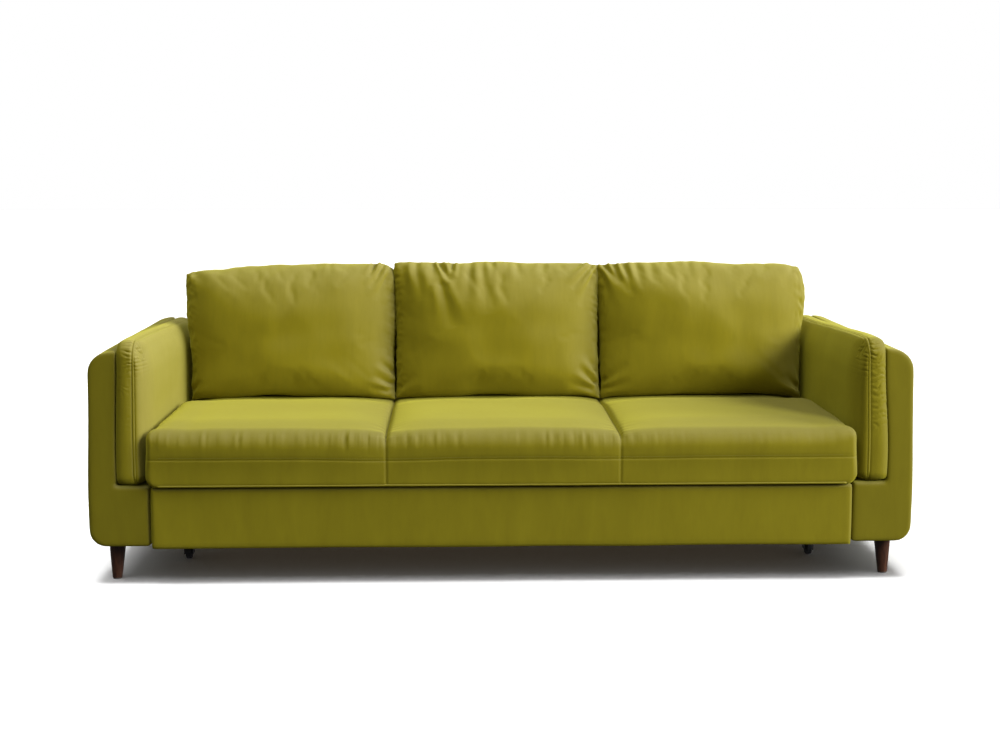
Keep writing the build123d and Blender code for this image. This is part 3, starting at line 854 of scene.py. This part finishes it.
def seat_lift(verts, normals, half, front, channels):
    """How far the seat's cloth stands out: crowns, channels, seam grooves and folds."""
    x, y, z = verts.T
    up = np.clip(normals[:, 2], 0, 1)
    forward = np.clip(-normals[:, 1], 0, 1)
    width = 2 * half / SEAT_SECTIONS
    local = (x + half) % width / width * 2 - 1
    local = np.where(np.abs(x) > half - 1e-6, 1.0, local)
    to_channel = np.minimum(np.abs(x - channels[0]), np.abs(x - channels[1]))
    end = step_up(np.abs(x), half - 0.12, half)
    crown = 1 - np.abs(local) ** (5 + 5 * end)
    under = step_up(y, 0.0, 0.14)  # the loose cushions press the seat down
    depth = step_up(y, front - 0.01, front + 0.16)
    base = -0.012 + 0.008 * end * (1 - under) - (0.009 + 0.012 * end) * under
    lift = up * (base + (SEAT_CROWN - 0.007 * under) * crown * (0.45 + 0.55 * depth))
    lift += forward * (0.008 * crown * bell(z - 0.400, 0.05) - 0.003)
    channel = 0.004 * bell(to_channel, 0.010) + 0.007 * bell(to_channel, 0.0045)
    lift -= up * (1 - 0.3 * under) * channel
    lift -= forward * 0.0024 * bell(to_channel, 0.0032)
    lift -= forward * 0.0017 * bell(z - STITCH_SEAM_Z, 0.0022)
    lift -= forward * 0.0009 * bell(z - STITCH_SEAM_Z - STITCH_GAP, 0.0018)
    lift += 0.0010 * hills(verts, 3, 0.30) * np.maximum(up, forward)
    # short folds that run over the front edge, and drawn cloth beside the channels
    edge = bell(z - 0.420, 0.024) * forward * np.clip(normals[:, 2] + 0.35, 0, 1)
    folds = hills(np.stack([x, y * 0.05, z * 0.05], axis=1), 17, 0.014)
    level = np.zeros_like(x)
    patchy = step_up(hills(np.stack([x, level, level], axis=1), 19, 0.3), -2.0, 0.6)
    patchy *= 1 - 0.7 * step_up(x, 0.15, 0.45)
    lift += SEAT_FOLD * edge * folds * patchy
    tucks = np.sin(y * 2 * np.pi / 0.034 + 2.2 * hills(verts, 23, 0.12))
    lift += 0.0009 * bell(to_channel, 0.035) * up * tucks
    return lift


def seat():
    """The mattress: three crowned sections between sewn channels, with a topstitched border."""
    low, high = limits("seat_cover")
    half, front, bottom = high[0], low[1], low[2]
    width = 2 * half / SEAT_SECTIONS
    channels = (-half + width, half - width)
    verts, faces = seat_block(low, high, channels)
    normals = vertex_normals(verts, faces)
    verts = verts + normals * seat_lift(verts, normals, half, front, channels)[:, None]
    verts = relaxed(verts, faces, 1, 0.3)
    x, y, z = verts.T.copy()
    swollen = SEAT_CORNER_BULGE * (1 - step_up(y, -0.462, -0.425))
    swollen *= step_up(np.abs(x), half - 0.12, half) * step_up(z, bottom, bottom + 0.03)
    x += np.sign(x) * swollen
    z -= seam_sag(x) * bell(z - STITCH_SEAM_Z, 0.03) * (y < 0)
    verts = np.stack([x, y, z], axis=1)
    nodes = ["seat_cover", "seat_foam"]
    upholstered("seat_upholstery", verts, faces, "seat_unit", nodes, VELVET_SEAT_SHADED)
    surface = surface_of(verts, faces)
    rolled_edge(low, high, surface)
    topstitching(half, front, surface)


def rolled_edge(low, high, surface):
    """The thin welt along the lower front edge."""
    half, front, bottom = high[0], low[1], low[2]
    run = np.linspace(-half + 0.02, half - 0.02, 240)
    starts = [(x, front - 0.1, bottom + 0.006) for x in run]
    path = laid_on(surface, starts, [(0.0, 1.0, 0.0)] * len(run))
    path[:, 1] += 0.0005
    tube("seat_lower_welt", smooth_path(path), 0.0032, VELVET_PIPING_SHADED, "seat_unit", 8)


def topstitching(half, front, surface):
    """A row of short thread stitches just above the front seam."""
    pitch, length, radius = 0.0065, 0.0042, 0.00055
    centres = np.arange(-half + 0.03, half - 0.03, pitch)
    height = STITCH_SEAM_Z + STITCH_GAP
    starts = [(x, front - 0.1, height - seam_sag(x)) for x in centres]
    spots = laid_on(surface, starts, [(0.0, 1.0, 0.0)] * len(centres))
    verts, faces = [], []
    ring = [(0, 1), (1, 0), (0, -1), (-1, 0)]
    for spot in spots:
        base = len(verts)
        verts.append((spot[0] - length / 2, spot[1], spot[2]))
        for along in (-0.3, 0.3):
            for a, b in ring:
                verts.append((spot[0] + along * length, spot[1] + radius * a, spot[2] + radius * b))
        verts.append((spot[0] + length / 2, spot[1], spot[2]))
        for k in range(4):
            after = (k + 1) % 4
            faces.append((base, base + 1 + after, base + 1 + k))
            faces.append((base + 1 + k, base + 1 + after, base + 5 + after, base + 5 + k))
            faces.append((base + 9, base + 5 + k, base + 5 + after))
    add_piece("seat_topstitching", verts, faces, THREAD, "seat_unit")


# Plain padded blocks: front panel, back and rear beam ------------------------

def padded_block(
    name, nodes, body, cloth, step, radii, swell, seed, ripple=0.0008, grow=(0, 0, 0), flare=0.0
):
    """A padded board: rounded, slightly swollen in the middle of its faces, faintly uneven.

    grow makes it larger on each side, and flare widens its upper part by that share.
    """
    low, high = limits(nodes[0])
    low, high = low - grow, high + grow
    verts, faces = box_grid(*[graded(a, b, step) for a, b in zip(low, high)])
    middle = (low + high) / 2
    reach = (high - low) / 2
    share = np.clip(1 - np.abs((verts - middle) / reach), 0, 1)
    verts = rounded(verts, low, high, radii)
    normals = vertex_normals(verts, faces)
    spread = np.sort(share, axis=1)[:, 1]
    lift = swell * step_up(spread, 0.0, 0.35) + ripple * hills(verts, seed, 0.3)
    verts = verts + normals * lift[:, None]
    verts[:, 0] *= 1 + flare * step_up(verts[:, 2], 0.42, 0.47)
    upholstered(name, verts, faces, body, nodes, cloth)


# Loose cushions --------------------------------------------------------------

CUSHION_CELL = 0.011  # the cloth's grid for the simulation
CUSHION_TOP = 0.873  # the crest of the outer cushions
CUSHION_LEAN = 0.012  # how far the top leans back from the middle
CUSHION_TREAD = 0.030  # how far forward of the middle its lower seam stands
CUSHION_SEAM_LOSS = 0.005  # what smoothing takes off at the seam
CUSHION_SINK = (0.014, 0.009)  # how far its foot sinks into the seat, and its corners more
CUSHION_EASE = -0.012  # the cloth is cut by this share larger than the space between its seams
CUSHION_SWELL = 0.024  # how far blowing up may move a point


def sewn_sheets(columns, rows):
    """A front and a back sheet joined at their border: (u, v, side) of each vertex, and quads."""
    front = np.arange((columns + 1) * (rows + 1)).reshape(columns + 1, rows + 1)
    back = front.copy()
    inner = (columns - 1) * (rows - 1)
    back[1:-1, 1:-1] = front.size + np.arange(inner).reshape(columns - 1, rows - 1)
    u, v = np.meshgrid(np.linspace(-1, 1, columns + 1), np.linspace(-1, 1, rows + 1), indexing="ij")
    ahead = np.stack([u, v, np.full_like(u, -1)], axis=2)
    ahead[0, :, 2] = ahead[-1, :, 2] = ahead[:, 0, 2] = ahead[:, -1, 2] = 0
    behind = np.stack([u, v, np.full_like(u, 1)], axis=2)[1:-1, 1:-1]
    places = np.concatenate([ahead.reshape(-1, 3), behind.reshape(-1, 3)])

    def cells(index):
        corners = [index[:-1, :-1], index[1:, :-1], index[1:, 1:], index[:-1, 1:]]
        return np.stack(corners, axis=2).reshape(-1, 4)

    return places, np.concatenate([cells(front), cells(back)[:, ::-1]])


def along(value, *points):
    """A drawn edge: (position from -1 to 1, offset in mm) points, joined smoothly."""
    positions, offsets = np.array(points, dtype=float).T
    fine = np.linspace(-1, 1, 201)
    drawn = np.interp(fine, positions, offsets)
    window = np.hanning(25)
    smooth = np.convolve(np.pad(drawn, 12, mode="edge"), window / window.sum(), mode="valid")
    return np.interp(value, fine, smooth) / 1000


# Each cushion's outline against its CAD box: offsets in mm along its left and right sides
# (from bottom to top) and along its top (from left to right, against CUSHION_TOP).
CUSHION_OUTLINES = {
    "left": (
        ((-1, -2), (-0.9, 1), (-0.3, -7), (0.3, -15), (0.7, -18), (1, -14)),
        ((-1, 2), (-0.85, -2), (0, 3), (0.8, 6), (1, -3)),
        ((-1, -38), (-0.8, -23), (-0.5, -14), (0.1, -2), (0.6, -2), (0.92, -4), (1, -32)),
    ),
    "middle": (
        ((-1, -4), (-0.85, 0), (0, -2), (0.8, -3), (1, -2)),
        ((-1, 7), (-0.85, 4), (0, 3), (0.7, 1), (1, 1)),
        ((-1, -5), (-0.9, -1), (0, 0), (0.9, -5), (1, -13)),
    ),
    "right": (
        ((-1, 5), (-0.85, 6), (0, 2), (0.7, -4), (1, -4)),
        ((-1, 2), (-0.85, -3), (-0.2, 6), (0.3, 17), (0.6, 17), (0.85, 9), (1, -4)),
        ((-1, -14), (-0.6, -2), (-0.2, 4), (0.4, -3), (0.85, -7), (1, -18)),
    ),
}

# Sewn-in folds, in mm: from (across from the middle, down from the top) to another such place,
# then half width and depth.
CUSHION_FOLDS = {
    "left": (
        (268, 4, 246, 48, 5, 8), (292, 14, 250, 82, 6, 7), (308, 46, 268, 120, 7, 5),
        (312, 388, 252, 354, 6, 6), (316, 350, 272, 308, 6, 5), (296, 412, 246, 398, 6, 4),
        (-316, 404, -286, 372, 7, 4), (-312, 36, -268, 74, 9, 3), (120, 6, 128, 44, 6, 2),
    ),
    "middle": (
        (-188, 2, -146, 62, 5, 11), (-140, 0, -152, 46, 5, 9), (-178, 70, -142, 205, 12, 7),
        (-206, 2, -196, 90, 9, 4), (-44, 30, -30, 160, 12, 5), (-84, 2, -96, 120, 9, 4),
        (-18, 2, -12, 70, 7, 5), (60, 2, 74, 60, 8, 4), (-262, 4, -240, 120, 9, 5),
        (150, 4, 140, 52, 8, 4), (304, 16, 236, 84, 6, 8), (312, 40, 262, 140, 8, 6),
        (276, 4, 214, 36, 6, 6), (316, 388, 256, 330, 6, 8), (318, 350, 280, 284, 7, 5),
        (300, 408, 214, 380, 8, 5), (-312, 400, -262, 352, 8, 4), (-300, 30, -282, 120, 9, 3),
    ),
    "right": (
        (-312, 14, -262, 70, 6, 9), (-286, 6, -240, 96, 6, 7), (-250, 4, -222, 110, 7, 6),
        (-208, 4, -196, 84, 8, 4), (-160, 4, -156, 66, 8, 3), (-318, 40, -290, 150, 8, 5),
        (-110, 4, -104, 52, 8, 2), (-312, 384, -240, 318, 8, 5), (-302, 406, -226, 376, 7, 4),
        (308, 402, 262, 358, 8, 5), (296, 26, 256, 80, 9, 3), (-40, 4, -38, 56, 8, 2),
    ),
}


def creased(across, down, folds):
    """How far the named folds move the cloth: a soft valley with a low ridge on each side."""
    move = np.zeros(len(across))
    for x0, z0, x1, z1, width, depth in folds:
        start = np.array([x0, z0]) / 1000
        run = np.array([x1, z1]) / 1000 - start
        length = np.linalg.norm(run)
        run /= length
        ahead = (across - start[0]) * run[0] + (down - start[1]) * run[1]
        aside = (across - start[0]) * -run[1] + (down - start[1]) * run[0]
        share = np.clip(ahead / length, 0, 1)
        fade = (1 - share) ** 0.7 * bell(ahead - np.clip(ahead, 0, length), 0.012)
        wide = width / 1000 * (1 + 0.8 * share)
        shape = bell(aside, wide) - 0.55 * bell(np.abs(aside) - 2.1 * wide, wide)
        move -= depth / 1000 * fade * shape
    return move


def blown_cushion(place):
    """A cushion's cloth between its seams, blown up where it stands."""
    low, high = limits(f"cushion_cover_{place}")
    left, right, top = CUSHION_OUTLINES[place]
    columns = round((high[0] - low[0]) / CUSHION_CELL)
    rows = round((CUSHION_TOP - low[2]) / CUSHION_CELL)
    spots, faces = sewn_sheets(columns, rows)
    u, v, sheet = spots.T
    x_left = low[0] + along(v, *left) - CUSHION_SEAM_LOSS
    x_right = high[0] + along(v, *right) + CUSHION_SEAM_LOSS
    z_top = CUSHION_TOP + along(u, *top)
    x = x_left + (x_right - x_left) * (u + 1) / 2
    z_foot = low[2] - CUSHION_SINK[0] - CUSHION_SINK[1] * np.abs(u) ** 8
    z = z_foot + (z_top - z_foot) * (v + 1) / 2
    power = np.where(v < 0, 4.4, 3.5)
    full = np.sqrt((1 - np.abs(u) ** 3.2) * np.clip(1 - np.abs(v) ** power, 0, 1))
    reach = (high[1] - low[1]) / 2 - 0.006
    middle = (low[1] + high[1]) / 2 + CUSHION_LEAN * v - CUSHION_TREAD * np.clip(-v, 0, 1) ** 3
    y = middle + sheet * reach * full
    flat = np.stack([x, y, z], axis=1)
    border = (np.abs(u) > 0.999) | (np.abs(v) > 0.999)
    move = inflated(flat, faces, border, CUSHION_EASE) - flat
    far = np.linalg.norm(move, axis=1, keepdims=True)
    move *= np.minimum(1, CUSHION_SWELL / np.maximum(far, 1e-9))
    # the filling pulls the cloth smooth along the foot and halfway up the sides
    calm = (1 - step_up(v, -0.9, -0.5)) * (1 - step_up(np.abs(u), 0.6, 0.85))
    calm = np.maximum(calm, 0.8 * step_up(np.abs(u), 0.5, 0.8) * (1 - step_up(np.abs(v), 0.35, 0.75)))
    move += calm[:, None] * (relaxed(move, faces, 25) - move)
    return flat + move, faces


def pressed(value, limit, softness):
    """Values beyond a limit, pressed back onto it with a soft onset."""
    return value - softness * np.logaddexp(0, (value - limit) / softness)


def cushion(place, seed):
    """A loose back cushion between seat and back, with its sewn-in folds."""
    low, high = limits(f"cushion_cover_{place}")
    verts, faces = subdivided(*blown_cushion(place))
    normals = vertex_normals(verts, faces)
    across = verts[:, 0] - (low[0] + high[0]) / 2
    down = CUSHION_TOP - verts[:, 2]
    facing = step_up(-normals[:, 1], -0.1, 0.35)
    lift = creased(across, down, CUSHION_FOLDS[place]) * facing
    lift += 0.0022 * hills(verts, seed, 0.16)
    lift += 0.0010 * hills(verts, seed + 7, 0.06) * bell(down, 0.06)
    lift += 0.0013 * hills(verts, seed + 11, 0.026) * bell(np.abs(across) - 0.325, 0.022)
    verts = verts + normals * lift[:, None]
    verts[:, 1] = pressed(verts[:, 1], high[1] - 0.002, 0.004)
    verts[:, 2] = np.maximum(verts[:, 2], low[2] - sum(CUSHION_SINK) - 0.001)
    nodes = [f"cushion_cover_{place}", f"cushion_filling_{place}"]
    name = f"cushion_{place}"
    upholstered(f"{name}_upholstery", verts, faces, name, nodes, VELVET)


# Everything soft is made here ------------------------------------------------

for side, name in SIDES:
    arm_cover(side, name)
    arm_pad(side, name)
seat()
padded_block(
    "drawer_front_upholstery",
    ["drawer_front_cover", "drawer_front_board"],
    "drawer",
    VELVET_PANEL_SHADED,
    step=0.009,
    radii=(0.005, 0.005, 0.005),
    swell=0.001,
    seed=41,
    grow=(0.0035, 0.005, 0),
)
padded_block(
    "rear_beam_upholstery",
    ["rear_beam"],
    "arms",
    VELVET,
    step=0.012,
    radii=(0.008, 0.008, 0.008),
    swell=0.001,
    seed=43,
)
padded_block(
    "back_upholstery",
    ["back_cover", "back_foam"],
    "back",
    VELVET,
    step=0.012,
    radii=(0.026, 0.030, 0.030),
    swell=0.004,
    seed=47,
    ripple=0.0015,
    flare=0.009,  # it covers the hinge straps' ends
)
for seed, place in enumerate(("left", "middle", "right")):
    cushion(place, 60 + seed)


# Carried-over CAD nodes ------------------------------------------------------

FINISHES = {
    "walnut": walnut(),
    "board": chipboard(),
    "pine": sawn_wood("pine", (0.62, 0.43, 0.22), (0.42, 0.25, 0.10), 0),
    "birch_slat": sawn_wood("birch", (0.66, 0.50, 0.29), (0.52, 0.36, 0.18), 1),
    "black_steel": powder_coat(),
    "zinc_steel": zinc(),
    "nylon": moulded("nylon", (0.72, 0.71, 0.67), 0.45, 500.0),
    "castor_tread": moulded("castor_rubber", (0.03, 0.03, 0.032), 0.7, 350.0),
    "felt": moulded("felt", (0.10, 0.09, 0.08), 0.95, 1500.0),
    "foam": moulded("foam", (0.78, 0.72, 0.52), 0.9, 700.0),
    "velvet": VELVET,
}

slot_of = {part["node"]: part["material_slot"] for part in frame["record"]["subparts"]}
for node, piece in frame["nodes"].items():
    piece.data.materials.clear()
    piece.data.materials.append(FINISHES[slot_of[node]])
